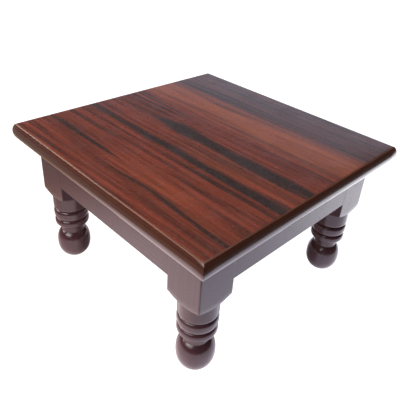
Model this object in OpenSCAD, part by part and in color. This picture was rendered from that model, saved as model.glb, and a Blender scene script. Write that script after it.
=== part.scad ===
// Low square table stand on four turned legs, used to hold a book or a tray.
// Lengths are in millimetres. Z is up, the feet stand on Z = 0, the table is centred on X and Y,
// and the grain of the laminate runs along X. The front is the side facing -Y.
// Pieces: a laminated board with mitred wooden lipping, four aprons tenoned into four turned
// legs, four battens screwed under the board, and a nailed pad under each foot.

/* [Table top] */
// side of the square top, measured over its rounded edges
top_side = 305; // [260:1:450]
// height of the finished top above the floor
stand_height = 178; // [160:1:260]
// thickness of the plywood board
board_thickness = 19; // [15:0.5:25]
// thickness of the decorative laminate sheet
laminate_thickness = 1; // [0.6:0.1:1.5]
// width of the wooden lipping round the board, at its widest line
lipping_width = 10; // [8:0.5:15]
// radius of the curve worked along the edge of the top
nose_radius = 15; // [12:0.5:30]
// height of the widest line of that curve above the underside of the top
nose_centre = 10.6; // [8:0.1:12]

/* [Frame under the top] */
// distance from the edge of the top in to the outer faces of the aprons
overhang = 19.5; // [12:0.5:40]
// height of each apron
apron_depth = 43; // [30:0.5:70]
// thickness of each apron
apron_thickness = 18; // [12:0.5:22]
// thickness of the tenon on each end of an apron
tenon_thickness = 8; // [5:0.5:10]
// length of that tenon
tenon_length = 21; // [12:0.5:24]
// how far the tenon is set in from the apron's top and bottom edges
tenon_shoulder = 5; // [3:0.5:10]
// glue gap left around each tenon and behind its end
glue_gap = 0.1; // [0.05:0.05:0.3]
// radius that eases the lower edges of the aprons and battens
edge_round = 0.8; // [0.4:0.1:3]
// side of the square battens that tie the top to the aprons
batten_side = 16; // [12:1:22]
// gap between the end of a batten and the leg beside it
batten_end_gap = 4; // [2:0.5:12]

/* [Turned legs] */
// side of the square stock each leg is made from
leg_side = 42; // [36:0.5:50]
// radius that eases the outer and the inner upright edge of the square block
leg_edge_round = 1.2; // [0.5:0.1:4]
// height of the block's lower corners above the floor
block_corner_height = 98; // [90:0.5:110]
// slope of the turned shoulder under the block
shoulder_slope = 0.5; // [0.2:0.05:1]
// diameter of the round neck under the block
neck_diameter = 40; // [36:0.2:46]
// height at which the neck starts to round in
neck_end_height = 78; // [76:0.5:84]
// height of the groove between the neck and the upper ring
upper_groove_height = 74; // [72:0.1:76]
// diameter of the upper ring
upper_ring_diameter = 40.6; // [38:0.1:48]
// height at which the upper ring has rounded out to its widest
upper_ring_high = 69.4; // [68:0.1:72]
// height at which the upper ring starts to round in again
upper_ring_low = 67.4; // [63:0.1:68]
// height of the groove between the two rings
lower_groove_height = 60.8; // [58:0.1:63]
// diameter of the lower ring
lower_ring_diameter = 40.2; // [38:0.1:48]
// height at which the lower ring has rounded out to its widest
lower_ring_high = 56; // [55:0.1:58]
// height at which the lower ring starts to round in again
lower_ring_low = 55; // [51:0.1:55]
// diameter at the bottom of each groove
groove_diameter = 35; // [30:0.2:38]
// diameter of the pinched waist between the lower ring and the ball
waist_diameter = 27.2; // [20:0.2:34]
// height at which the waist starts under the lower ring
waist_height = 49.2; // [46:0.1:51]
// diameter of the ball foot
ball_diameter = 39.6; // [36:0.1:46]
// height of the ball's widest line above the floor
ball_centre_height = 23; // [20:0.1:25]
// reach of the ball's upper curve above that line if it ran on to the axis
ball_reach_up = 21.5; // [19:0.1:24]
// reach of the ball's lower curve below that line if it ran on to the axis
ball_reach_down = 22.6; // [21:0.1:24]
// fullness of the upper curve, 2 for a plain ellipse
ball_fullness_up = 2.5; // [2:0.1:3]
// fullness of the lower curve, 2 for a plain ellipse
ball_fullness_down = 2.2; // [2:0.1:3]

/* [Pads and fixings] */
// thickness of the pad under each ball
pad_thickness = 2.4; // [1.2:0.1:4]
// diameter of that pad
pad_diameter = 12.4; // [8:0.1:18]
// diameter of the nail that holds the pad
nail_diameter = 2; // [1.4:0.1:2.5]
// length of that nail under its head
nail_length = 14; // [10:0.5:20]
// diameter of the nail's head
nail_head_diameter = 4.4; // [3:0.1:6]
// depth by which the nail's head is sunk into the pad's sole
nail_sink = 0.3; // [0.1:0.1:0.5]
// diameter of a screw's plain body
screw_diameter = 3.5; // [3:0.1:4]
// diameter of a screw's countersunk head
screw_head_diameter = 7; // [6:0.1:8]
// length of the screws that go up into the board
top_screw_length = 28; // [24:0.5:32]
// length of the screws that go out into the aprons
side_screw_length = 29; // [24:0.5:31]
// running room round each screw and nail
screw_room = 0.05; // [0.02:0.01:0.2]
// distance of the outer screws from the ends of a batten
screw_from_end = 24; // [15:1:40]
// distance between a batten's upright screw and the level screw beside it
screw_stagger = 26; // [14:1:40]

/* [Hidden] */

// smoothness of large and small round work
fine = 96;
small = 32;
// extra reach of a cutting shape past the face it cuts
past = 1;
// number of short steps in one rounded stretch of a turned leg
steps = 10;
// number of short steps in the upper and in the lower half of the ball
ball_steps = 18;

// colours by material
laminate_colour = [0.42, 0.19, 0.14];
lipping_colour = [0.20, 0.08, 0.06];
paint_colour = [0.33, 0.25, 0.27];
board_colour = [0.72, 0.57, 0.40];
batten_colour = [0.76, 0.62, 0.44];
steel_colour = [0.70, 0.68, 0.62];
pad_colour = [0.10, 0.09, 0.09];

top_half = top_side / 2;
top_thickness = board_thickness + laminate_thickness;
under_top = stand_height - top_thickness;
laminate_underside = stand_height - laminate_thickness;
board_half = top_half - lipping_width;

frame_half = top_half - overhang;
leg_centre = frame_half - leg_side / 2;
leg_inner = frame_half - leg_side;
apron_bottom = under_top - apron_depth;
apron_inner = frame_half - apron_thickness;
tenon_offset = (apron_thickness - tenon_thickness) / 2;
tenon_height = apron_depth - 2 * tenon_shoulder;

neck_radius = neck_diameter / 2;
groove_radius = groove_diameter / 2;
leg_corner_radius = leg_side / sqrt(2);
shoulder_top = block_corner_height;
shoulder_end = shoulder_top - (leg_corner_radius - neck_radius) * shoulder_slope;
ball_radius = ball_diameter / 2;

batten_half = leg_inner - batten_end_gap;
batten_middle = apron_inner - batten_side / 2;
upright_screw_at = batten_half - screw_from_end;
level_screw_at = upright_screw_at - screw_stagger;
head_depth = (screw_head_diameter - screw_diameter) / 2;
nail_head_depth = (nail_head_diameter - nail_diameter) / 2;
recess_width = 1;
recess_depth = 1.2;
recess_length = 3.6;

// ---- the curved edge of the top -------------------------------------------------------------

// outline of the whole top seen along one side: flat above and below, curved at both ends
module nosed_outline() {
  intersection() {
    translate([-top_half, 0]) square([top_side, top_thickness]);
    union() {
      translate([nose_radius - top_half, 0])
        square([top_side - 2 * nose_radius, top_thickness]);
      for (side = [-1, 1])
        translate([side * (top_half - nose_radius), nose_centre])
          circle(r = nose_radius, $fn = fine);
    }
  }
}

// the outline drawn out along Y for the left and right edges
module nosed_along_y() {
  translate([0, top_half, under_top])
    rotate([90, 0, 0])
      linear_extrude(height = top_side) nosed_outline();
}

// the whole top: where the two curved slabs agree, the corners come out mitred
module top_solid() {
  intersection() {
    nosed_along_y();
    rotate([0, 0, 90]) nosed_along_y();
  }
}

module laminate_sheet() {
  color(laminate_colour)
    intersection() {
      top_solid();
      translate([-top_half, -top_half, laminate_underside])
        cube([top_side, top_side, laminate_thickness]);
    }
}

module top_board() {
  color(board_colour)
    difference() {
      translate([-board_half, -board_half, under_top])
        cube([2 * board_half, 2 * board_half, board_thickness]);
      all_sides() top_screw_holes();
    }
}

// one strip of lipping on the front side, cut at 45 degrees at both ends
module lipping_strip() {
  color(lipping_colour)
    intersection() {
      top_solid();
      translate([0, 0, under_top])
        linear_extrude(height = board_thickness)
          polygon([[-top_half, -top_half], [top_half, -top_half],
            [board_half, -board_half], [-board_half, -board_half]]);
    }
}

// ---- placing one piece at each side or each corner -------------------------------------------

// the front side turned to face side number n: front, right, back, left
module at_side(n) {
  rotate([0, 0, 90 * n]) children();
}

module all_sides() {
  for (n = [0:3]) at_side(n) children();
}

// ---- aprons ----------------------------------------------------------------------------------

// section of a board whose two lower edges are eased
module eased_section(width, height) {
  translate([0, edge_round]) square([width, height - edge_round]);
  translate([edge_round, 0]) square([width - 2 * edge_round, edge_round * 2]);
  for (x = [edge_round, width - edge_round])
    translate([x, edge_round]) circle(r = edge_round, $fn = small);
}

// a length of eased section lying along X, centred on X, its outer face at Y = 0
module eased_rail(width, height, half_length) {
  translate([-half_length, 0, 0])
    rotate([90, 0, 90])
      linear_extrude(height = 2 * half_length) eased_section(width, height);
}

module tenons() {
  translate([-leg_inner - tenon_length, tenon_offset - frame_half, apron_bottom + tenon_shoulder])
    cube([2 * (leg_inner + tenon_length), tenon_thickness, tenon_height]);
}

// room cut in the legs for the tenons, a glue gap larger all round
module tenon_room() {
  translate([-leg_inner - tenon_length - glue_gap, tenon_offset - frame_half - glue_gap,
    apron_bottom + tenon_shoulder - glue_gap])
    cube([2 * (leg_inner + tenon_length + glue_gap), tenon_thickness + 2 * glue_gap,
      tenon_height + 2 * glue_gap]);
}

module apron() {
  color(paint_colour)
    difference() {
      union() {
        translate([0, -frame_half, apron_bottom])
          eased_rail(apron_thickness, apron_depth, leg_inner);
        tenons();
      }
      side_screw_holes();
    }
}

// ---- battens and their screws ----------------------------------------------------------------

module batten() {
  color(batten_colour)
    difference() {
      translate([0, -apron_inner, under_top - batten_side])
        eased_rail(batten_side, batten_side, batten_half);
      top_screw_holes();
      side_screw_holes();
    }
}

// a screw standing on its head, its point upwards, head flush with Z = 0
module screw(length, room = 0) {
  cylinder(h = head_depth + room, d1 = screw_head_diameter + 2 * room,
    d2 = screw_diameter + 2 * room, $fn = small);
  cylinder(h = length - screw_diameter, d = screw_diameter + 2 * room, $fn = small);
  translate([0, 0, length - screw_diameter])
    cylinder(h = screw_diameter + room, d1 = screw_diameter + 2 * room, d2 = room, $fn = small);
}

// the cross cut in a screw's head
module cross_recess() {
  for (a = [0, 90])
    rotate([0, 0, a])
      translate([-recess_length / 2, -recess_width / 2, -past])
        cube([recess_length, recess_width, recess_depth + past]);
}

// the two places along a batten for its upright screws, heads on the batten's underside
module at_top_screws() {
  for (side = [-1, 1])
    translate([side * upright_screw_at, -batten_middle, under_top - batten_side])
      children();
}

// the two places for its level screws, heads on the batten's inner face
module at_side_screws() {
  for (side = [-1, 1])
    translate([side * level_screw_at, batten_side - apron_inner, under_top - batten_side / 2])
      rotate([90, 0, 0]) children();
}

module top_screw_holes() {
  at_top_screws() {
    screw(top_screw_length, screw_room);
    translate([0, 0, -past])
      cylinder(h = past + screw_room, d = screw_head_diameter + 2 * screw_room, $fn = small);
  }
}

module side_screw_holes() {
  at_side_screws() {
    screw(side_screw_length, screw_room);
    translate([0, 0, -past])
      cylinder(h = past + screw_room, d = screw_head_diameter + 2 * screw_room, $fn = small);
  }
}

module batten_screws() {
  color(steel_colour) {
    at_top_screws() difference() {
      screw(top_screw_length);
      cross_recess();
    }
    at_side_screws() difference() {
      screw(side_screw_length);
      cross_recess();
    }
  }
}

// ---- legs ------------------------------------------------------------------------------------

// quarter-ellipse from (wide, high) curving in to (narrow, low), as points going down
function round_in(wide, high, narrow, low) =
  [for (i = [0:steps]) [narrow + (wide - narrow) * cos(90 * i / steps),
    high + (low - high) * sin(90 * i / steps)]];

// quarter-ellipse from (narrow, high) swelling out to (wide, low), as points going down
function round_out(narrow, high, wide, low) =
  [for (i = [0:steps]) [narrow + (wide - narrow) * sin(90 * i / steps),
    low + (high - low) * cos(90 * i / steps)]];

// point on the ball's outline at an angle above (or below, if reach is negative) its widest line
function ball_point(angle, reach, fullness) =
  [ball_radius * pow(cos(angle), 2 / fullness),
    ball_centre_height + reach * pow(sin(angle), 2 / fullness)];

// angles at which the ball's outline meets the waist and the pad
waist_angle = acos(pow(waist_diameter / ball_diameter, ball_fullness_up / 2));
foot_angle = asin(pow((ball_centre_height - pad_thickness) / ball_reach_down,
  ball_fullness_down / 2));

// half-outline of the turning from the shoulder down to the foot
turned_outline = concat(
  [[0, shoulder_top + past], [neck_radius, shoulder_top + past], [neck_radius, shoulder_end]],
  round_in(neck_radius, neck_end_height, groove_radius, upper_groove_height),
  round_out(groove_radius, upper_groove_height, upper_ring_diameter / 2, upper_ring_high),
  round_in(upper_ring_diameter / 2, upper_ring_low, groove_radius, lower_groove_height),
  round_out(groove_radius, lower_groove_height, lower_ring_diameter / 2, lower_ring_high),
  round_in(lower_ring_diameter / 2, lower_ring_low, waist_diameter / 2, waist_height),
  [for (i = [0:ball_steps])
    ball_point(waist_angle * (1 - i / ball_steps), ball_reach_up, ball_fullness_up)],
  [for (i = [1:ball_steps])
    ball_point(foot_angle * i / ball_steps, -ball_reach_down, ball_fullness_down)],
  [[0, pad_thickness]]);

module turned_part() {
  rotate_extrude($fn = fine) polygon(turned_outline);
}

// square block with its outer and inner upright edges eased
module block_section() {
  half = leg_side / 2;
  difference() {
    square(leg_side, center = true);
    for (a = [0, 180]) rotate([0, 0, a])
      translate([half - leg_edge_round, -half - past])
        square([leg_edge_round + past, leg_edge_round + past]);
  }
  for (a = [0, 180]) rotate([0, 0, a])
    translate([half - leg_edge_round, leg_edge_round - half])
      circle(r = leg_edge_round, $fn = small);
}

// the block, its lower end cut to the sloping shoulder on the lathe
module block() {
  reach = leg_side;
  intersection() {
    translate([0, 0, shoulder_end - past])
      linear_extrude(height = under_top - shoulder_end + past) block_section();
    rotate_extrude($fn = fine)
      polygon([[0, shoulder_end], [neck_radius, shoulder_end],
        [reach, shoulder_end + (reach - neck_radius) * shoulder_slope],
        [reach, under_top], [0, under_top]]);
  }
}

// pilot hole for the nail, up the axis of the leg
module nail_room() {
  cylinder(h = nail_sink + nail_length + screw_room, d = nail_diameter + 2 * screw_room,
    $fn = small);
}

// one leg in its final place at the front right corner
module leg() {
  color(paint_colour)
    difference() {
      translate([leg_centre, -leg_centre, 0])
        difference() {
          union() {
            block();
            turned_part();
          }
          nail_room();
        }
      tenon_room();
      at_side(1) tenon_room();
    }
}

// ---- pads under the feet ---------------------------------------------------------------------

// a nail standing on its head, head flush with Z = 0
module nail(room = 0) {
  cylinder(h = nail_head_depth + room, d1 = nail_head_diameter + 2 * room,
    d2 = nail_diameter + 2 * room, $fn = small);
  cylinder(h = nail_length - nail_diameter, d = nail_diameter + 2 * room, $fn = small);
  translate([0, 0, nail_length - nail_diameter])
    cylinder(h = nail_diameter, d1 = nail_diameter + 2 * room, d2 = room, $fn = small);
}

module foot_pad() {
  color(pad_colour)
    translate([leg_centre, -leg_centre, 0])
      difference() {
        cylinder(h = pad_thickness, d = pad_diameter, $fn = fine);
        translate([0, 0, nail_sink]) nail(screw_room);
        translate([0, 0, -past])
          cylinder(h = past + nail_sink + screw_room,
            d = nail_head_diameter + 2 * screw_room, $fn = small);
      }
}

module pad_nail() {
  color(steel_colour)
    translate([leg_centre, -leg_centre, nail_sink]) nail();
}

// ---- one named module per piece --------------------------------------------------------------

module lipping_front() { at_side(0) lipping_strip(); }
module lipping_right() { at_side(1) lipping_strip(); }
module lipping_back() { at_side(2) lipping_strip(); }
module lipping_left() { at_side(3) lipping_strip(); }

module apron_front() { at_side(0) apron(); }
module apron_right() { at_side(1) apron(); }
module apron_back() { at_side(2) apron(); }
module apron_left() { at_side(3) apron(); }

module leg_front_right() { at_side(0) leg(); }
module leg_back_right() { at_side(1) leg(); }
module leg_back_left() { at_side(2) leg(); }
module leg_front_left() { at_side(3) leg(); }

module batten_front() { at_side(0) batten(); }
module batten_right() { at_side(1) batten(); }
module batten_back() { at_side(2) batten(); }
module batten_left() { at_side(3) batten(); }

module batten_screws_front() { at_side(0) batten_screws(); }
module batten_screws_right() { at_side(1) batten_screws(); }
module batten_screws_back() { at_side(2) batten_screws(); }
module batten_screws_left() { at_side(3) batten_screws(); }

module foot_pad_front_right() { at_side(0) foot_pad(); }
module foot_pad_back_right() { at_side(1) foot_pad(); }
module foot_pad_back_left() { at_side(2) foot_pad(); }
module foot_pad_front_left() { at_side(3) foot_pad(); }

module pad_nail_front_right() { at_side(0) pad_nail(); }
module pad_nail_back_right() { at_side(1) pad_nail(); }
module pad_nail_back_left() { at_side(2) pad_nail(); }
module pad_nail_front_left() { at_side(3) pad_nail(); }

top_board();
laminate_sheet();
lipping_front();
lipping_right();
lipping_back();
lipping_left();
apron_front();
apron_right();
apron_back();
apron_left();
leg_front_left();
leg_front_right();
leg_back_right();
leg_back_left();
batten_front();
batten_right();
batten_back();
batten_left();
batten_screws_front();
batten_screws_right();
batten_screws_back();
batten_screws_left();
foot_pad_front_left();
foot_pad_front_right();
foot_pad_back_right();
foot_pad_back_left();
pad_nail_front_left();
pad_nail_front_right();
pad_nail_back_right();
pad_nail_back_left();
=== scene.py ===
# %% [markdown]
# # A low wooden stand for a holy book
#
# This lesson dresses a small square table. Its frame, sizes and fixings were settled first, as
# solid pieces in one shared frame, and nothing here moves or resizes them. Three kinds of piece
# need finer meshes than those solids have: the laminate, the rounded lipping and the turned legs.
# They are made here in mesh code, on the same lines. Every other piece keeps its solid shape and
# gets its own wood, steel or plastic.
#
# The table stands on Z = 0, centred on X and Y. Its front faces -Y, and the grain of the top
# runs along X. Lengths are in metres.

# %% Load the frame
from math import acos, asin, atan2, cos, pi, radians, sin, sqrt, tan

import bmesh
import bpy
from mathutils import Euler, Matrix, Vector


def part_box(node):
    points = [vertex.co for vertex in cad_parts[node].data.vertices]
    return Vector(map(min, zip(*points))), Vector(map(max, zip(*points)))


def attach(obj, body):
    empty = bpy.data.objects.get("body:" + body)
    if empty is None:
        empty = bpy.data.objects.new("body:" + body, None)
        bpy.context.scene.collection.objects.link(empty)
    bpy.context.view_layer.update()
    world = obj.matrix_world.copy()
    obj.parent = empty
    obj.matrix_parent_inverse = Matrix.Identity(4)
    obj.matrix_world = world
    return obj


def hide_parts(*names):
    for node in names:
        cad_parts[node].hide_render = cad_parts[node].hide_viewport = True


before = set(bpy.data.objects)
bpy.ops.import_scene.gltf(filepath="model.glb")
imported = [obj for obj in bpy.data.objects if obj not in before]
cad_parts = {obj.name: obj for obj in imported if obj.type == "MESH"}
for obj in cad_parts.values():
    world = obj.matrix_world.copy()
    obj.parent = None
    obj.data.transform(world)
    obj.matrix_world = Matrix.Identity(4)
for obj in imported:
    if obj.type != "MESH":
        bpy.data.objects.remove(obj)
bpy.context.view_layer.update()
MM = 0.001

# %% [markdown]
# ## Sizes that the frame already knows
#
# A maker measures the carcass before cutting the veneer for it. Each size below is read from the
# box of a solid piece, so the dressed pieces meet their neighbours without any fitting.

# %% Read the carcass
TOP_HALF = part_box("lipping_front")[1].x
TOP_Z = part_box("laminate_sheet")[1].z
LAMINATE_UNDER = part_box("laminate_sheet")[0].z
UNDER_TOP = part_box("top_board")[0].z
BOARD_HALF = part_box("top_board")[1].x
APRON_FACE = -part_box("apron_front")[0].y
PAD_LOW, PAD_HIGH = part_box("foot_pad_front_right")
LEG_CENTRE = (PAD_LOW.x + PAD_HIGH.x) / 2
LEG_FOOT = PAD_HIGH.z
LEG_HALF = APRON_FACE - LEG_CENTRE
print("top half, height, leg centre, leg half in mm:",
      [round(v / MM, 2) for v in (TOP_HALF, TOP_Z, LEG_CENTRE, LEG_HALF)])

# %% [markdown]
# ## The camera
#
# The stand is looked at from its front right corner and from above, close enough for the near
# leg to look clearly larger than the far ones. The lens is a little longer than normal, the
# camera is rolled a few degrees, and a small lens shift centres the table in the picture.

# %% Place the camera
CAMERA_PLACE = Vector((327.8, -342.5, 409.3)) * MM
CAMERA_AZIMUTH = radians(43.39)
CAMERA_ELEVATION = radians(30.69)
CAMERA_ROLL = radians(4.23)
LENS = 40.59
LENS_SHIFT = (0.0082, -0.0857)

lens = bpy.data.cameras.new("studio_camera")
lens.lens = LENS
lens.shift_x, lens.shift_y = LENS_SHIFT
lens.clip_start = 1 * MM
camera = bpy.data.objects.new("studio_camera", lens)
bpy.context.scene.collection.objects.link(camera)
turn = Euler((pi / 2 - CAMERA_ELEVATION, 0, CAMERA_AZIMUTH), "XYZ").to_matrix()
camera.matrix_world = (Matrix.Translation(CAMERA_PLACE)
                       @ (turn @ Matrix.Rotation(CAMERA_ROLL, 3, "Z")).to_4x4())
bpy.context.scene.camera = camera
print("camera at", [round(v, 3) for v in camera.location], "lens", lens.lens)

# %% [markdown]
# ## Small tools for meshes
#
# `new_piece` turns points and faces into an object that rides with the table. Smooth shading with
# sharp edges kept where faces meet steeply is what shows a worked edge crisply.

# %% Mesh tools
SHARP = radians(32)


def new_piece(name, points, faces, replaces):
    """A mesh object in the shared frame that takes the place of one solid piece."""
    mesh = bpy.data.meshes.new(name)
    mesh.from_pydata([tuple(p) for p in points], [], faces)
    tidy = bmesh.new()
    tidy.from_mesh(mesh)
    bmesh.ops.remove_doubles(tidy, verts=tidy.verts, dist=0.002 * MM)
    bmesh.ops.recalc_face_normals(tidy, faces=tidy.faces)
    tidy.to_mesh(mesh)
    tidy.free()
    mesh.shade_smooth()
    mesh.set_sharp_from_angle(angle=SHARP)
    piece = bpy.data.objects.new(name, mesh)
    bpy.context.scene.collection.objects.link(piece)
    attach(piece, "root")
    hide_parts(replaces)
    print(f"{name}: {len(mesh.vertices)} points, {len(mesh.polygons)} faces")
    return piece


def skin(rows, closed):
    """Faces between rows of points of equal length, each row going round or along."""
    width = len(rows[0])
    reach = width if closed else width - 1
    faces = []
    for r in range(len(rows) - 1):
        for c in range(reach):
            d = (c + 1) % width
            faces.append((r * width + c, r * width + d, (r + 1) * width + d, (r + 1) * width + c))
    return faces


def quarter_turns(points, n):
    """Points turned n quarter turns about Z, from the front to the right, back and left."""
    turned = Matrix.Rotation(n * pi / 2, 3, "Z")
    return [turned @ Vector(p) for p in points]


SIDES = ("front", "right", "back", "left")
CORNERS = ("front_right", "back_right", "back_left", "front_left")

# %% [markdown]
# ## The worked edge of the top
#
# One router cutter shapes the whole edge, so the lipping and the edge of the laminate lie on one
# arc. The arc is a little fuller than a quarter, with its widest line just above the middle, and
# both pieces below take their outlines from it.

# %% The edge curve
NOSE_RADIUS = 15 * MM
NOSE_CENTRE = 10.6 * MM
ARRIS_EASE = 0.35 * MM


def nose_inset(z):
    """How far the worked edge lies in from the widest line at that height."""
    rise = z - UNDER_TOP - NOSE_CENTRE
    return NOSE_RADIUS - sqrt(NOSE_RADIUS ** 2 - rise ** 2)


def spread(low, high, count):
    """count + 1 evenly spaced values from low to high."""
    return [low + (high - low) * i / count for i in range(count + 1)]


print("laminate edge lies in by", round(nose_inset(TOP_Z) / MM, 2), "mm")

# %% [markdown]
# ## The lipping
#
# The lipping is a solid wooden strip glued to each side of the board and mitred at the corners.
# A swept section is the natural way to make it: the section is drawn once, and each of its
# points runs along the side until it meets the diagonal of the corner. The two strips at a corner
# stop a hair short of each other, which leaves the fine dark line of a real mitre.

# %% Make the lipping
MITRE_GAP = 0.12 * MM
MITRE_EASE = 0.25 * MM
NOSE_STEPS = 26
RUN_STEPS = 24

face_heights = spread(UNDER_TOP + ARRIS_EASE, LAMINATE_UNDER, NOSE_STEPS)
lip_section = [(TOP_HALF - nose_inset(z), z) for z in face_heights]
lip_section += [(BOARD_HALF, LAMINATE_UNDER), (BOARD_HALF, UNDER_TOP)]
lower_arris = TOP_HALF - nose_inset(UNDER_TOP + ARRIS_EASE)
for step in (0, 1, 2):
    bend = step / 2 * pi / 2
    lip_section.append((lower_arris - ARRIS_EASE * (1 - sin(bend)),
                        UNDER_TOP + ARRIS_EASE * (1 - cos(bend))))


def lip_row(share, pull=0.0):
    """The section at a share of half the run, its points drawn in towards the board by pull."""
    row = []
    for out, z in lip_section:
        end = out - MITRE_GAP
        row.append((share * end, -(out - pull), z))
    return row


def lipping(n):
    """The lipping of side n, from mitre to mitre."""
    shares = [-1] + spread(-1 + MITRE_EASE / TOP_HALF, 1 - MITRE_EASE / TOP_HALF, RUN_STEPS) + [1]
    rows = [lip_row(s, MITRE_EASE / 3 if abs(s) == 1 else 0.0) for s in shares]
    faces = skin(rows, closed=True)
    width = len(lip_section)
    faces.append(tuple(range(width)))
    faces.append(tuple(range((len(rows) - 1) * width, len(rows) * width)))
    points = quarter_turns([p for row in rows for p in row], n)
    return new_piece("lipping_strip_" + SIDES[n], points, faces,
                     "lipping_" + SIDES[n])


lippings = [lipping(n) for n in range(4)]
print("strips stop", MITRE_GAP / MM, "mm short of each corner's diagonal")

# %% [markdown]
# ## The laminate
#
# The laminate is a hard printed sheet a millimetre thick. Its edge follows the same arc as the
# lipping. Then it is eased with a file, which cuts through the print and bares the brown paper
# core as a thin line all round. That soft edge is what catches the window light. Each pair below
# is one ring of the edge: how far it lies in from the arc and how far below the top, in mm.

# %% Make the laminate sheet
FACE_STEPS = 30
CORNER_STEPS = 4
CORNER_ROUND = 0.8 * MM


def square_ring(half, z, per_side):
    """Points round a square with slightly softened corners."""
    ring = []
    flat = half - CORNER_ROUND
    for n in range(4):
        side = [Vector((x, -half, z)) for x in spread(-flat, flat, per_side)]
        corner = [Vector((flat + CORNER_ROUND * sin(a), -flat - CORNER_ROUND * cos(a), z))
                  for a in spread(0, pi / 2, CORNER_STEPS)[1:-1]]
        ring += quarter_turns(side + corner, n)
    return ring


SHEET_EASE = ((0.0, 1.0), (0.0, 0.82), (0.2, 0.5), (0.65, 0.22), (1.3, 0.06), (2.2, 0.0))
rings = []
for inset, drop in SHEET_EASE:
    z = TOP_Z - drop * MM
    rings.append(square_ring(TOP_HALF - nose_inset(z) - inset * MM, z, FACE_STEPS))
flat_half = max(p.x for p in rings[-1])
print("laminate's flat top is", round(2 * flat_half / MM, 1), "mm square")
sheet_faces = skin(rings, closed=True)
ring_size = len(rings[0])
sheet_faces.append(tuple(range(ring_size)))
sheet_faces.append(tuple(range((len(rings) - 1) * ring_size, len(rings) * ring_size)))
laminate = new_piece("laminate_top", [p for ring in rings for p in ring], sheet_faces,
                     "laminate_sheet")

# %% [markdown]
# ## The turned legs
#
# Each leg starts as square stock. On the lathe its lower part is turned round: a sloping shoulder
# under the block, a neck, two rings that curve in to sharp grooves, and a ball. The mesh is built
# the way the wood is cut. Every column of points stands at one angle round the leg. Below the
# shoulder the columns follow the turned outline; above it they stand on the faces of the square
# block. Where the shoulder's cone meets the block's faces it leaves the arched edges that such
# legs have, and the columns end exactly on those arches.

# %% The turned outline
NECK_RADIUS = 20 * MM
NECK_END = 78 * MM
SHOULDER_SLOPE = 0.5
BLOCK_CORNER_Z = 98 * MM
SHOULDER_END = BLOCK_CORNER_Z - (LEG_HALF * sqrt(2) - NECK_RADIUS) * SHOULDER_SLOPE
GROOVE_RADIUS = 17.5 * MM
UPPER_GROOVE = 74 * MM
LOWER_GROOVE = 60.8 * MM
UPPER_RING_RADIUS = 20.3 * MM
UPPER_RING_BAND = (69.4 * MM, 67.4 * MM)
LOWER_RING_RADIUS = 20.1 * MM
LOWER_RING_BAND = (56 * MM, 55 * MM)
WAIST_RADIUS = 13.6 * MM
WAIST_TOP = 49.2 * MM
BALL_RADIUS = 19.8 * MM
BALL_CENTRE = 23 * MM
BALL_UP, BALL_DOWN = 21.5 * MM, 22.6 * MM
FULL_UP, FULL_DOWN = 2.5, 2.2


def round_in(wide, high, narrow, low, count):
    """A quarter ellipse from a widest line in to a groove, going down."""
    return [(narrow + (wide - narrow) * cos(a), high + (low - high) * sin(a))
            for a in spread(0, pi / 2, count)]


def round_out(narrow, high, wide, low, count):
    """A quarter ellipse from a groove out to a widest line, going down."""
    return [(narrow + (wide - narrow) * sin(a), low + (high - low) * cos(a))
            for a in spread(0, pi / 2, count)]


def ball_curve(start, end, reach, fullness, count):
    """The ball between two angles above or below its widest line."""
    return [(BALL_RADIUS * cos(a) ** (2 / fullness),
             BALL_CENTRE + reach * sin(a) ** (2 / fullness)) for a in spread(start, end, count)]


waist_angle = acos((WAIST_RADIUS / BALL_RADIUS) ** (FULL_UP / 2))
foot_angle = asin(((BALL_CENTRE - LEG_FOOT) / BALL_DOWN) ** (FULL_DOWN / 2))
outline = [(NECK_RADIUS, z) for z in spread(SHOULDER_END, NECK_END + 1 * MM, 5)]
outline += round_in(NECK_RADIUS, NECK_END, GROOVE_RADIUS, UPPER_GROOVE, 10)
outline += round_out(GROOVE_RADIUS, UPPER_GROOVE, UPPER_RING_RADIUS, UPPER_RING_BAND[0], 12)
outline += round_in(UPPER_RING_RADIUS, UPPER_RING_BAND[1], GROOVE_RADIUS, LOWER_GROOVE, 14)
outline += round_out(GROOVE_RADIUS, LOWER_GROOVE, LOWER_RING_RADIUS, LOWER_RING_BAND[0], 12)
outline += round_in(LOWER_RING_RADIUS, LOWER_RING_BAND[1], WAIST_RADIUS, WAIST_TOP, 16)
outline += ball_curve(waist_angle, 0, BALL_UP, FULL_UP, 24)
outline += ball_curve(0, foot_angle, -BALL_DOWN, FULL_DOWN, 24)[1:]
outline += [(outline[-1][0] * share, LEG_FOOT) for share in (0.66, 0.33)]
print("turned outline:", len(outline), "points, shoulder ends at",
      round(SHOULDER_END / MM, 2), "mm")

# %% [markdown]
# The block's section is a square whose outer and inner corners are eased and whose other two
# corners stay crisp, because there the aprons lie flush with the leg. One full turn of angles
# serves the round and the square parts alike.

# %% The block's section
FREE_EASE = 1.2 * MM
FLUSH_EASE = 0.15 * MM
EASE_STEPS = 5
FACE_COLUMNS = 32


def block_section():
    """Points round the block, from the lower end of the right face."""
    eases = (FREE_EASE, FLUSH_EASE, FREE_EASE, FLUSH_EASE)
    outline_points = []
    for n in range(4):
        start, end = eases[n], eases[(n + 1) % 4]
        lower = atan2(LEG_HALF - start, LEG_HALF)
        upper = atan2(LEG_HALF - end, LEG_HALF)
        face = [(LEG_HALF, LEG_HALF * tan(a)) for a in spread(-lower, upper, FACE_COLUMNS)]
        hub = LEG_HALF - end
        corner = [(hub + end * cos(a), hub + end * sin(a))
                  for a in spread(0, pi / 2, EASE_STEPS)[1:-1]]
        quarter = Matrix.Rotation(n * pi / 2, 2)
        outline_points += [quarter @ Vector(p) for p in face + corner]
    return outline_points


section = block_section()
print("block section:", len(section), "points")

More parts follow.
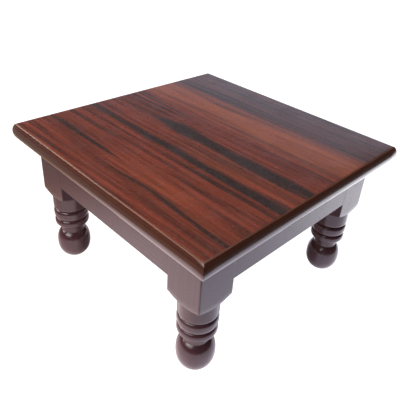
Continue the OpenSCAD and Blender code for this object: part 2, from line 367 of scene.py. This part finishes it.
# %% [markdown]
# The shoulder's edge is softened by sanding and paint. Three rows do it: one just inside the
# cone, one pulled slightly in on the edge itself, and one just above it on the face.

# %% Make the legs
SOFT = 0.35 * MM
SHOULDER_ROWS = 4
BLOCK_ROWS = 10


def shoulder_height(radius):
    return SHOULDER_END + (radius - NECK_RADIUS) * SHOULDER_SLOPE


def leg_rows():
    """Rows of points up the front right leg, centred on its own axis."""
    rows = []
    for radius, z in reversed(outline):
        rows.append([(radius * p.x / p.length, radius * p.y / p.length, z) for p in section])
    for share in spread(0, 1, SHOULDER_ROWS)[1:]:
        row = []
        for p in section:
            radius = NECK_RADIUS + (p.length - SOFT - NECK_RADIUS) * share
            radius = max(radius, NECK_RADIUS + 0.05 * MM * share)
            row.append((radius * p.x / p.length, radius * p.y / p.length,
                        shoulder_height(radius)))
        rows.append(row)
    rows.append([(p.x * (1 - 0.1 * MM / p.length), p.y * (1 - 0.1 * MM / p.length),
                  shoulder_height(p.length) + 0.08 * MM) for p in section])
    for share in spread(0, 1, BLOCK_ROWS):
        row = []
        for p in section:
            start = shoulder_height(p.length) + SOFT
            row.append((p.x, p.y, start + (UNDER_TOP - start) * share))
        rows.append(row)
    return rows


def turned_leg(n):
    """The leg at corner n, its eased corner turned outwards."""
    rows = leg_rows()
    width = len(section)
    faces = skin(rows, closed=True)
    faces.append(tuple(range(width)))
    faces.append(tuple(range((len(rows) - 1) * width, len(rows) * width)))
    points = [Vector(p) + Vector((LEG_CENTRE, -LEG_CENTRE, 0)) for row in rows for p in row]
    return new_piece("turned_leg_" + CORNERS[n], quarter_turns(points, n), faces,
                     "leg_" + CORNERS[n])


legs = [turned_leg(n) for n in range(4)]
print("block corners end at", round(shoulder_height(LEG_HALF * sqrt(2)) / MM, 1), "mm")

# %% [markdown]
# ## Small tools for finishes
#
# A finish is a tree of shader nodes. `put` adds one node and sets or links its inputs, `maths`
# and `mix` are the two nodes used most, and `effect` starts a node group with named inputs and
# outputs, so that one effect can serve several finishes.

# %% Finish tools
FRAME_DUST = (0.5, 0.46, 0.44, 1)
TOP_DUST = (0.5, 0.47, 0.44, 1)


def put(tree, kind, values=None, **settings):
    """A node of that kind, its settings set and its inputs set or linked."""
    made = tree.nodes.new("ShaderNode" + kind)
    for name, value in settings.items():
        setattr(made, name, value)
    for name, value in (values or {}).items():
        if isinstance(value, bpy.types.NodeSocket):
            tree.links.new(value, made.inputs[name])
        else:
            made.inputs[name].default_value = value
    return made


def maths(tree, operation, *values):
    return put(tree, "Math", dict(enumerate(values)), operation=operation).outputs[0]


def scaled(tree, vector, factors):
    return put(tree, "VectorMath", {0: vector, 1: factors}, operation="MULTIPLY").outputs[0]


def noise(tree, vector, scale, detail=2.0, roughness=0.5):
    return put(tree, "TexNoise", {"Vector": vector, "Scale": scale, "Detail": detail,
                                  "Roughness": roughness}).outputs["Fac"]


def ramp(tree, value, low, high, bottom=0.0, top=1.0):
    """Value eased from bottom to top as it goes from low to high."""
    return put(tree, "MapRange", {"Value": value, "From Min": low, "From Max": high,
                                  "To Min": bottom, "To Max": top},
               interpolation_type="SMOOTHSTEP").outputs["Result"]


def mix(tree, factor, under, over):
    """Colour under, covered by colour over as factor goes to 1."""
    return put(tree, "Mix", {0: factor, 6: under, 7: over}, data_type="RGBA").outputs[2]


def effect(name, inputs, outputs):
    """A node group with those sockets, its input node and its output node."""
    group = bpy.data.node_groups.new(name, "ShaderNodeTree")
    for label, kind, value in inputs:
        socket = group.interface.new_socket(label, in_out="INPUT",
                                            socket_type="NodeSocket" + kind)
        socket.default_value = value
    for label in outputs:
        group.interface.new_socket(label, in_out="OUTPUT", socket_type="NodeSocketFloat")
    return group, group.nodes.new("NodeGroupInput"), group.nodes.new("NodeGroupOutput")


def use(tree, group, values):
    made = tree.nodes.new("ShaderNodeGroup")
    made.node_tree = group
    for name, value in values.items():
        if isinstance(value, bpy.types.NodeSocket):
            tree.links.new(value, made.inputs[name])
        else:
            made.inputs[name].default_value = value
    return made.outputs


def new_finish(name, **sockets):
    """A material with one Principled shader, whose even values are set on its own sockets."""
    material = bpy.data.materials.new(name)
    material.use_nodes = True
    tree = material.node_tree
    shader = tree.nodes["Principled BSDF"]
    for label, value in sockets.items():
        shader.inputs[label.replace("_", " ")].default_value = value
    return material, tree, shader


def place(tree):
    """The point being shaded, in the table's frame."""
    return put(tree, "TexCoord").outputs["Object"]


def bump(tree, height, distance, strength=1.0):
    return put(tree, "Bump", {"Height": height, "Distance": distance,
                              "Strength": strength}).outputs["Normal"]


def along(tree, axis):
    """The point being shaded, turned so that X runs along the grain of a piece."""
    turns = {"X": (0, 0, 0), "Y": (0, 0, -pi / 2), "Z": (0, pi / 2, 0)}
    return put(tree, "Mapping", {"Vector": place(tree), "Rotation": turns[axis]}).outputs[0]


print("grain can run along X, Y or Z")

# %% [markdown]
# ## Wood
#
# Sawn or turned wood shows three things at three sizes: rings a few millimetres apart that wander
# slowly along the grain, fine fibres, and short dark pores. All of them are long along the grain
# and narrow across it, so the group squeezes the position along X before it reads any pattern.

# %% The wood group
wood, enter, leave = effect(
    "wood_figure",
    [("Position", "Vector", (0, 0, 0)), ("Ring spacing", "Float", 0.004),
     ("Wander", "Float", 1.0)],
    ["Rings", "Fibres", "Pores"])
STRETCH = (0.05, 1, 1)
PITH_SIDEWAYS, PITH_BELOW = 37 * MM, 52 * MM
grain_place = scaled(wood, enter.outputs["Position"], STRETCH)
axes = put(wood, "SeparateXYZ", {0: grain_place}).outputs
pith = maths(wood, "SQRT", maths(
    wood, "ADD", maths(wood, "POWER", maths(wood, "ADD", axes["Y"], PITH_SIDEWAYS), 2.0),
    maths(wood, "POWER", maths(wood, "ADD", axes["Z"], PITH_BELOW), 2.0)))
drift = maths(wood, "MULTIPLY", noise(wood, grain_place, 22.0, 3.0), enter.outputs["Wander"])
turns = maths(wood, "ADD", maths(wood, "DIVIDE", pith, enter.outputs["Ring spacing"]),
              maths(wood, "MULTIPLY", drift, 3.0))
wave = maths(wood, "FRACT", turns)
wood.links.new(ramp(wood, maths(wood, "ABSOLUTE", maths(wood, "SUBTRACT", wave, 0.5)),
                    0.1, 0.5), leave.inputs["Rings"])
wood.links.new(noise(wood, grain_place, 900.0, 4.0, 0.65), leave.inputs["Fibres"])
wood.links.new(ramp(wood, noise(wood, grain_place, 2600.0, 1.0), 0.6, 0.74),
               leave.inputs["Pores"])
print("wood group:", len(wood.nodes), "nodes")

# %% [markdown]
# ## A sprayed or brushed coat
#
# Paint and lacquer never dry perfectly flat. The coat group gives a faint orange peel as a
# height, and slow patches of handling where the gloss is a touch duller.

# %% The coat group
coat, enter, leave = effect("gloss_coat", [("Position", "Vector", (0, 0, 0)),
                                           ("Peel size", "Float", 0.0025)],
                            ["Peel", "Handling"])
peel_scale = maths(coat, "DIVIDE", 1.0, enter.outputs["Peel size"])
coat.links.new(noise(coat, enter.outputs["Position"], peel_scale, 1.0), leave.inputs["Peel"])
coat.links.new(ramp(coat, noise(coat, enter.outputs["Position"], 38.0, 4.0, 0.6), 0.35, 0.75),
               leave.inputs["Handling"])
print("coat group:", len(coat.nodes), "nodes")

# %% [markdown]
# ## Settled dust
#
# A little pale dust lies on faces that look up and thins out on steep ones.

# %% The dust group
dust, enter, leave = effect("settled_dust", [("Position", "Vector", (0, 0, 0)),
                                             ("Amount", "Float", 0.1)], ["Dust"])
up = put(dust, "SeparateXYZ", {0: put(dust, "NewGeometry").outputs["Normal"]}).outputs["Z"]
specks = ramp(dust, noise(dust, enter.outputs["Position"], 260.0, 6.0, 0.7), 0.42, 0.78)
dust.links.new(maths(dust, "MULTIPLY", maths(dust, "MULTIPLY", ramp(dust, up, 0.3, 1.0), specks),
                     enter.outputs["Amount"]), leave.inputs["Dust"])
print("dust group:", len(dust.nodes), "nodes")

# %% [markdown]
# ## The rosewood print
#
# The print copies a plank of rosewood: a red-brown ground with fine darker lines along X, warmer
# stretches, and a few nearly black veins that swell, thin out and end in points. The vein group
# draws one of those, tapered over a few centimetres at each end and frayed along its sides. Each
# vein then gets its own start, end, place and width. Towards the far edge the ground is painted
# greyer and darker, a painted stand-in for part of the cool sheen that the glossy top mirrors
# there.

# %% The vein group
TAPER_IN, TAPER_OUT = 70 * MM, 50 * MM
FRAY_SCALE = (8, 460, 1)
vein, enter, leave = effect(
    "dark_vein",
    [("Position", "Vector", (0, 0, 0)), ("From", "Float", -0.1), ("To", "Float", 0.1),
     ("Across", "Float", 0.0), ("Half width", "Float", 0.005), ("Wander", "Float", 0.01),
     ("Softness", "Float", 0.5)], ["Vein"])
axes = put(vein, "SeparateXYZ", {0: enter.outputs["Position"]}).outputs
seed = maths(vein, "MULTIPLY", enter.outputs["Across"], 31.0)
slow_place = put(vein, "CombineXYZ", {0: maths(vein, "MULTIPLY", axes["X"], 9.0), 1: seed})
slow = noise(vein, slow_place.outputs[0], 1.0, 2.0)
swell = noise(vein, put(vein, "CombineXYZ", {0: maths(vein, "MULTIPLY", axes["X"], 13.0),
                                             2: seed}).outputs[0], 1.0, 2.0)
fray = noise(vein, scaled(vein, enter.outputs["Position"], FRAY_SCALE), 1.0, 3.0, 0.6)
centre = maths(vein, "ADD", enter.outputs["Across"], maths(
    vein, "MULTIPLY", maths(vein, "SUBTRACT", slow, 0.5), enter.outputs["Wander"]))
offset = maths(vein, "ABSOLUTE", maths(vein, "SUBTRACT", axes["Y"], centre))
begins = ramp(vein, axes["X"], enter.outputs["From"],
              maths(vein, "ADD", enter.outputs["From"], TAPER_IN))
ends = ramp(vein, axes["X"], enter.outputs["To"],
            maths(vein, "SUBTRACT", enter.outputs["To"], TAPER_OUT))
body = maths(vein, "MULTIPLY", maths(vein, "MULTIPLY", begins, ends),
             maths(vein, "ADD", maths(vein, "MULTIPLY", swell, 1.2), 0.35))
half = maths(vein, "ADD", maths(vein, "MULTIPLY", enter.outputs["Half width"], body), 0.00001)
ragged = maths(vein, "ADD", maths(vein, "DIVIDE", offset, half),
               maths(vein, "MULTIPLY", maths(vein, "SUBTRACT", fray, 0.5), 1.5))
inner = maths(vein, "SUBTRACT", 1.0, enter.outputs["Softness"])
vein.links.new(ramp(vein, ragged, inner, maths(vein, "ADD", inner, enter.outputs["Softness"]),
                    1.0, 0.0), leave.inputs["Vein"])
print("vein group:", len(vein.nodes), "nodes")

# %% [markdown]
# The veins below are in millimetres: where each starts and ends along the grain, how far across
# the top it lies, half its width, how much it wanders, how soft and how strong it is. Many start
# or end beyond the sheet, as they do where a sheet is cut from a larger one.

# %% The rosewood laminate
VEINS = [
    (-92, 190, -13, 12.5, 9, 0.6, 0.95),
    (-50, 190, -31, 7, 8, 1.6, 0.5),
    (-230, 190, -52, 7, 10, 0.8, 0.9),
    (-75, 190, -50, 11, 10, 0.9, 0.85),
    (-230, -28, 17, 3.2, 4, 0.8, 0.85),
    (-230, -40, 9, 3.6, 4, 0.8, 0.85),
    (-230, -34, 2, 3, 4, 0.8, 0.8),
    (-190, -5, -107, 4.2, 5, 0.8, 0.9),
    (-40, 190, -121, 4.2, 12, 0.9, 0.9),
    (-30, 190, 38, 7.5, 6, 1.6, 0.75),
    (20, 190, 24, 2.5, 6, 1.2, 0.5),
    (-190, 190, 93, 9, 8, 1.5, 0.6),
    (-100, 10, 74, 4, 8, 1.0, 0.8),
    (-190, -20, -81, 4.5, 6, 1.3, 0.75),
    (-190, 190, 122, 6, 8, 1.6, 0.5),
    (10, 230, -66, 3, 6, 0.9, 0.75),
    (-190, 40, -134, 2.2, 6, 1.0, 0.5),
]
VEIN_COLOUR = (0.026, 0.017, 0.016, 1)
WARM_MIDDLE = 60 * MM
FAR_SHEEN_FROM, FAR_SHEEN_TO = 70 * MM, 100 * MM
CORE_FROM = 0.25 * MM


def rosewood_laminate():
    """The print: ground, warm band, a far side painted greyer as a stand-in for sheen, and veins,
    under a slightly worn gloss.
    """
    material, tree, shader = new_finish("rosewood_laminate", IOR=1.5)
    here = place(tree)
    lines = noise(tree, scaled(tree, here, (7, 190, 1)), 1.0, 7.0, 0.62)
    zones = noise(tree, scaled(tree, here, (3.2, 17, 1)), 1.0, 2.0)
    hairs = noise(tree, scaled(tree, here, (24, 1500, 1)), 1.0, 3.0, 0.7)
    ground = mix(tree, ramp(tree, lines, 0.3, 0.68), (0.056, 0.017, 0.012, 1),
                 (0.215, 0.045, 0.025, 1))
    warm = mix(tree, ramp(tree, lines, 0.3, 0.7), (0.17, 0.046, 0.024, 1),
               (0.33, 0.092, 0.038, 1))
    cool = mix(tree, ramp(tree, lines, 0.3, 0.7), (0.026, 0.019, 0.021, 1),
               (0.105, 0.048, 0.042, 1))
    across = put(tree, "SeparateXYZ", {0: here}).outputs["Y"]
    band = ramp(tree, maths(tree, "ABSOLUTE", maths(tree, "SUBTRACT", across, WARM_MIDDLE)),
                0.008, 0.038, 1.0, 0.0)
    warmth = maths(tree, "MINIMUM", 1.0, maths(
        tree, "ADD", maths(tree, "MULTIPLY", band, 0.85), ramp(tree, zones, 0.52, 0.8, 0.0, 0.5)))
    wavy = maths(tree, "ADD", across, maths(tree, "MULTIPLY", maths(
        tree, "SUBTRACT", zones, 0.5), 0.03))
    colour = mix(tree, warmth, ground, warm)
    # Painted sheen: the ground turns greyer and darker towards the far edge, standing in for part
    # of the mirrored cool glow.
    colour = mix(tree, ramp(tree, wavy, FAR_SHEEN_FROM, FAR_SHEEN_TO, 0.0, 0.85), colour, cool)
    colour = mix(tree, ramp(tree, hairs, 0.48, 0.76, 0.0, 0.45), colour, (0.03, 0.012, 0.01, 1))
    for start, end, across_mm, width, wander, softness, strength in VEINS:
        mask = use(tree, vein, {
            "Position": here, "From": start * MM, "To": end * MM, "Across": across_mm * MM,
            "Half width": width * MM, "Wander": wander * MM, "Softness": softness})["Vein"]
        colour = mix(tree, maths(tree, "MULTIPLY", mask, strength), colour, VEIN_COLOUR)
    skin_out = use(tree, coat, {"Position": here, "Peel size": 3 * MM})
    film = use(tree, dust, {"Position": here, "Amount": 0.04})["Dust"]
    tree.links.new(mix(tree, film, colour, TOP_DUST), shader.inputs["Base Color"])
    tree.links.new(ramp(tree, skin_out["Handling"], 0.0, 1.0, 0.24, 0.33),
                   shader.inputs["Roughness"])
    height = maths(tree, "ADD", maths(tree, "MULTIPLY", hairs, 0.5), skin_out["Peel"])
    tree.links.new(bump(tree, height, 0.012 * MM), shader.inputs["Normal"])
    return material


def laminate_core():
    """The brown paper core, bared where the edge is eased."""
    material, tree, shader = new_finish("laminate_core", IOR=1.5, Roughness=0.48)
    here = place(tree)
    plies = noise(tree, scaled(tree, here, (20, 20, 5200)), 1.0, 2.0)
    chips = noise(tree, here, 700.0, 3.0, 0.6)
    colour = mix(tree, ramp(tree, plies, 0.35, 0.65), (0.075, 0.024, 0.013, 1),
                 (0.16, 0.055, 0.032, 1))
    colour = mix(tree, ramp(tree, chips, 0.62, 0.8), colour, (0.26, 0.12, 0.075, 1))
    tree.links.new(colour, shader.inputs["Base Color"])
    tree.links.new(bump(tree, chips, 0.05 * MM), shader.inputs["Normal"])
    return material


laminate.data.materials.append(rosewood_laminate())
laminate.data.materials.append(laminate_core())
for polygon in laminate.data.polygons:
    polygon.material_index = 0 if polygon.center.z > TOP_Z - CORE_FROM else 1
print("laminate:", len(VEINS), "veins")

# %% [markdown]
# ## The lacquered lipping
#
# The lipping is close-grained wood stained dark red-brown under a full gloss lacquer. The
# lacquer fills the grain, so the surface rises and falls only with the lacquer's faint peel.

# %% Lipping finish


def lacquered_lipping(axis):
    """Stained and lacquered wood with its grain along the given axis."""
    material, tree, shader = new_finish("lacquered_lipping_" + axis.lower(), IOR=1.5)
    here = along(tree, axis)
    figure = use(tree, wood, {"Position": here, "Ring spacing": 3.5 * MM, "Wander": 1.2})
    cover = use(tree, coat, {"Position": here, "Peel size": 2.2 * MM})
    colour = mix(tree, figure["Rings"], (0.072, 0.019, 0.008, 1), (0.042, 0.011, 0.006, 1))
    colour = mix(tree, ramp(tree, figure["Fibres"], 0.35, 0.7, 0.0, 0.4), colour,
                 (0.085, 0.024, 0.012, 1))
    colour = mix(tree, maths(tree, "MULTIPLY", figure["Pores"], 0.6), colour,
                 (0.012, 0.004, 0.003, 1))
    tree.links.new(colour, shader.inputs["Base Color"])
    tree.links.new(ramp(tree, cover["Handling"], 0.0, 1.0, 0.14, 0.24),
                   shader.inputs["Roughness"])
    tree.links.new(bump(tree, cover["Peel"], 0.01 * MM), shader.inputs["Normal"])
    return material


lip_x, lip_y = lacquered_lipping("X"), lacquered_lipping("Y")
for n, piece in enumerate(lippings):
    piece.data.materials.append(lip_x if n % 2 == 0 else lip_y)
print("lipping finishes:", lip_x.name, lip_y.name)

# %% [markdown]
# ## The painted frame
#
# Aprons and legs share one glossy dark brown finish, sprayed after the frame was glued up. Thin
# paint lets the wood's pores show as fine lines along each piece's own grain: across the aprons
# and up the legs.

# %% Frame finish
PAINT = (0.056, 0.020, 0.026, 1)
PAINT_THIN = (0.085, 0.032, 0.038, 1)


def frame_paint(axis):
    """Thin glossy paint over wood whose grain runs along the given axis."""
    material, tree, shader = new_finish("frame_paint_" + axis.lower(), IOR=1.5)
    here = along(tree, axis)
    figure = use(tree, wood, {"Position": here, "Ring spacing": 5 * MM, "Wander": 1.0})
    cover = use(tree, coat, {"Position": here, "Peel size": 2.6 * MM})
    colour = mix(tree, ramp(tree, figure["Rings"], 0.2, 1.0, 0.0, 0.3), PAINT, PAINT_THIN)
    colour = mix(tree, ramp(tree, figure["Fibres"], 0.4, 0.75, 0.0, 0.4), colour,
                 (0.024, 0.012, 0.014, 1))
    film = use(tree, dust, {"Position": here, "Amount": 0.05})["Dust"]
    tree.links.new(mix(tree, film, colour, FRAME_DUST), shader.inputs["Base Color"])
    tree.links.new(ramp(tree, cover["Handling"], 0.0, 1.0, 0.16, 0.25),
                   shader.inputs["Roughness"])
    height = maths(tree, "ADD", cover["Peel"], maths(tree, "MULTIPLY", figure["Pores"], -1.2))
    tree.links.new(bump(tree, height, 0.012 * MM), shader.inputs["Normal"])
    return material


def dress(name, *materials):
    """Puts materials on a solid piece of the frame, which keeps its shape."""
    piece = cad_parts[name]
    piece.data.materials.clear()
    for material in materials:
        piece.data.materials.append(material)


paint_x, paint_y, paint_z = (frame_paint(axis) for axis in "XYZ")
for piece in legs:
    piece.data.materials.append(paint_z)
for n, side in enumerate(SIDES):
    dress("apron_" + side, paint_x if n % 2 == 0 else paint_y)
print("frame finishes:", paint_x.name, paint_y.name, paint_z.name)

# %% [markdown]
# ## Bare wood, steel and plastic underneath
#
# The board is plywood, with a pale veneer on its underside. The battens are planed softwood with
# wide rings. The screws are zinc plated with a yellow tint, the nails are plain steel, and the
# pads are black plastic with a fine moulded texture.

# %% Hidden finishes


def bare_wood(name, axis, light, dark, spacing, rough):
    """Planed wood without a finish, its rings spacing apart."""
    material, tree, shader = new_finish(name, IOR=1.45)
    here = along(tree, axis)
    figure = use(tree, wood, {"Position": here, "Ring spacing": spacing, "Wander": 1.6})
    colour = mix(tree, ramp(tree, figure["Rings"], 0.0, 1.0, 0.0, 0.8), light, dark)
    colour = mix(tree, ramp(tree, figure["Fibres"], 0.4, 0.7, 0.0, 0.35), colour, dark)
    tree.links.new(colour, shader.inputs["Base Color"])
    tree.links.new(ramp(tree, figure["Fibres"], 0.3, 0.7, rough - 0.08, rough + 0.08),
                   shader.inputs["Roughness"])
    tree.links.new(bump(tree, figure["Fibres"], 0.05 * MM), shader.inputs["Normal"])
    return material


def plated_steel(name, tint, rough):
    """Steel under thin plating, a little cloudy."""
    material, tree, shader = new_finish(name, Metallic=1.0)
    here = place(tree)
    cloud = noise(tree, here, 500.0, 4.0)
    tree.links.new(mix(tree, cloud, tint, tuple(c * 0.7 for c in tint[:3]) + (1,)),
                   shader.inputs["Base Color"])
    tree.links.new(ramp(tree, cloud, 0.3, 0.7, rough - 0.08, rough + 0.1),
                   shader.inputs["Roughness"])
    tree.links.new(bump(tree, noise(tree, here, 3000.0), 0.01 * MM), shader.inputs["Normal"])
    return material


def moulded_plastic():
    """Black plastic with a fine moulded grit."""
    material, tree, shader = new_finish("pad_plastic", IOR=1.46)
    here = place(tree)
    grit = noise(tree, here, 2200.0, 3.0)
    tree.links.new(mix(tree, grit, (0.008, 0.007, 0.007, 1), (0.028, 0.026, 0.025, 1)),
                   shader.inputs["Base Color"])
    tree.links.new(ramp(tree, grit, 0.3, 0.7, 0.45, 0.65), shader.inputs["Roughness"])
    tree.links.new(bump(tree, grit, 0.03 * MM), shader.inputs["Normal"])
    return material


veneer = bare_wood("plywood_veneer", "X", (0.52, 0.36, 0.21, 1), (0.36, 0.22, 0.11, 1),
                   11 * MM, 0.6)
batten_x = bare_wood("batten_wood_x", "X", (0.60, 0.43, 0.25, 1), (0.42, 0.25, 0.12, 1),
                     3.2 * MM, 0.62)
batten_y = bare_wood("batten_wood_y", "Y", (0.60, 0.43, 0.25, 1), (0.42, 0.25, 0.12, 1),
                     3.2 * MM, 0.62)
zinc = plated_steel("screw_zinc", (0.78, 0.66, 0.40, 1), 0.3)
bright = plated_steel("nail_steel", (0.60, 0.60, 0.62, 1), 0.32)
plastic = moulded_plastic()
dress("top_board", veneer)
for n, side in enumerate(SIDES):
    dress("batten_" + side, batten_x if n % 2 == 0 else batten_y)
    dress("batten_screws_" + side, zinc)
for corner in CORNERS:
    dress("foot_pad_" + corner, plastic)
    dress("pad_nail_" + corner, bright)
print("finishes in all:", len(bpy.data.materials))

# %% [markdown]
# ## Floor and light
#
# The stand is shown on a floor that looks plain white, before a plain white backdrop. Glossy dark
# paint takes its look from what it mirrors, so the floor is planned for the paint as much as for
# the viewer. The floor glows by itself, and the viewer sees it evenly white. Mirrored in the
# paint it shows a painted pool of light: bright and cool to the right and behind, pinkish in
# front, dim and warm to the left, with painted shade under the table.

# %% The floor
FLOOR_HALF = 6.0
floor_mesh = bpy.data.meshes.new("studio_floor")
floor_mesh.from_pydata([(-FLOOR_HALF, -FLOOR_HALF, 0), (FLOOR_HALF, -FLOOR_HALF, 0),
                        (FLOOR_HALF, FLOOR_HALF, 0), (-FLOOR_HALF, FLOOR_HALF, 0)], [],
                       [(0, 1, 2, 3)])
floor = bpy.data.objects.new("studio_floor", floor_mesh)
bpy.context.scene.collection.objects.link(floor)
# Colours of the floor's glow as the paint mirrors it: a painted pool of light, painted shade
# under the table, and a dim glow beyond the pool.
PAINTED_SHADE_UNDER = (0.22, 0.19, 0.21, 1)
GLOW_FRONT = (1.72, 1.42, 1.48, 1)
GLOW_LEFT = (0.26, 0.08, 0.0, 1)
GLOW_RIGHT = (1.30, 1.25, 1.52, 1)
GLOW_BACK = (2.25, 2.25, 2.45, 1)
GLOW_FAR = (0.03, 0.028, 0.027, 1)
GLOW_WHITE = (1.1, 1.1, 1.1, 1)
POOL_LEFT = (0.24, 0.33)
POOL_RIGHT = (0.26, 0.37)
POOL_NEAR = (0.295, 0.335)
SHADE_UNDER_EDGE = (0.09, 0.14)


def glowing_floor():
    """A glowing floor, evenly white to the camera. Glossy paint mirrors it as a painted pool of
    light with painted shade under the table.
    """
    material, tree, shader = new_finish("studio_glowing_floor", Roughness=0.9, Emission_Strength=1.0,
                                        Base_Color=(0.2, 0.2, 0.2, 1))
    axes = put(tree, "SeparateXYZ", {0: place(tree)}).outputs
    leftwards = maths(tree, "SUBTRACT", maths(tree, "MULTIPLY", axes["X"], -0.35),
                      maths(tree, "MULTIPLY", axes["Y"], 0.8))
    nearwards = maths(tree, "SUBTRACT", maths(tree, "MULTIPLY", axes["X"], 0.687),
                      maths(tree, "MULTIPLY", axes["Y"], 0.727))
    # Painted pool of light: the glow fades off to the left, to the right and towards the viewer.
    pool = maths(tree, "MULTIPLY", ramp(tree, leftwards, *POOL_LEFT, 1.0, 0.0),
                 ramp(tree, axes["X"], *POOL_RIGHT, 1.0, 0.0))
    pool = maths(tree, "MULTIPLY", pool, ramp(tree, nearwards, *POOL_NEAR, 1.0, 0.0))
    front = mix(tree, ramp(tree, axes["X"], -0.31, 0.0), GLOW_LEFT, GLOW_FRONT)
    right = mix(tree, ramp(tree, axes["Y"], 0.0, 0.34), GLOW_RIGHT, GLOW_BACK)
    side = ramp(tree, maths(tree, "ADD", axes["X"], axes["Y"]), -0.12, 0.12)
    glow = mix(tree, side, front, right)
    beside = maths(tree, "MAXIMUM", maths(tree, "ABSOLUTE", axes["X"]),
                   maths(tree, "ABSOLUTE", axes["Y"]))
    # Painted shade: under the table the floor's glow drops to a dim value.
    glow = mix(tree, ramp(tree, beside, *SHADE_UNDER_EDGE), PAINTED_SHADE_UNDER, glow)
    mirrored = mix(tree, pool, GLOW_FAR, glow)
    seen = put(tree, "LightPath").outputs["Is Camera Ray"]
    tree.links.new(mix(tree, seen, mirrored, GLOW_WHITE), shader.inputs["Emission Color"])
    return material


floor.data.materials.append(glowing_floor())
print("floor:", 2 * FLOOR_HALF, "m square")

# %% [markdown]
# ## The lights
#
# A window light comes from the left. Two weaker lights fill in from the front, the lower one
# small and close, and a ceiling light lifts the top.

# %% Set the lights


def soft_lamp(name, place_m, target_m, size_m, watts, colour):
    """A rectangular lamp at one place, facing another."""
    lamp = bpy.data.lights.new(name, "AREA")
    lamp.shape = "RECTANGLE"
    lamp.size, lamp.size_y = size_m
    lamp.energy = watts
    lamp.color = colour
    stand = bpy.data.objects.new(name, lamp)
    bpy.context.scene.collection.objects.link(stand)
    stand.location = place_m
    aim = Vector(target_m) - Vector(place_m)
    stand.rotation_euler = aim.to_track_quat("-Z", "Y").to_euler()
    print(name, watts, "W")


soft_lamp("window_light", (-1.35, -0.80, 1.02), (0.0, 0.0, 0.1), (1.3, 0.6), 25,
          (1.0, 0.93, 0.86))
soft_lamp("front_fill", (0.15, -1.2, 0.9), (0.1, -0.1, 0.05), (0.9, 0.7), 9, (1.0, 0.97, 0.97))
soft_lamp("low_front_light", (-0.02, -0.66, 0.42), (0.11, -0.11, 0.05), (0.32, 0.16), 0.8,
          (1.0, 0.96, 0.94))
soft_lamp("ceiling_light", (0.2, 0.2, 2.0), (0.0, 0.0, 0.0), (1.2, 1.2), 15, (1.0, 0.98, 0.96))

# %% [markdown]
# The room's far wall is a soft bluish glow low down behind the table. The glossy top mirrors it,
# so the print looks hazy and cool along its far edge and deep and red nearer the viewer.

# %% The room
BACKDROP = (1.0, 1.0, 1.0, 1)
ROOM_DIM = (0.080, 0.070, 0.068, 1)
WALL_GLOW = (0.78, 0.86, 1.10, 1)
WALL_TOP = (0.40, 0.53)
WALL_END = (-0.28, -0.04)
world = bpy.data.worlds.new("studio_air")
bpy.context.scene.world = world
world.use_nodes = True
sky = world.node_tree
way = put(sky, "SeparateXYZ", {0: put(sky, "TexCoord").outputs["Generated"]}).outputs
steepness = maths(sky, "DIVIDE", way["Z"], maths(sky, "MAXIMUM", way["Y"], 0.02))
wall = maths(sky, "MULTIPLY", ramp(sky, steepness, *WALL_TOP, 1.0, 0.0),
             ramp(sky, way["X"], *WALL_END, 1.0, 0.0))
air = sky.nodes["Background"]
seen = put(sky, "LightPath").outputs["Is Camera Ray"]
sky.links.new(mix(sky, seen, mix(sky, wall, ROOM_DIM, WALL_GLOW), BACKDROP),
              air.inputs["Color"])
air.inputs["Strength"].default_value = 1.0
bpy.context.scene.view_settings.view_transform = "Standard"
print("room glows", WALL_GLOW[:3], "behind and", ROOM_DIM[:3], "elsewhere")
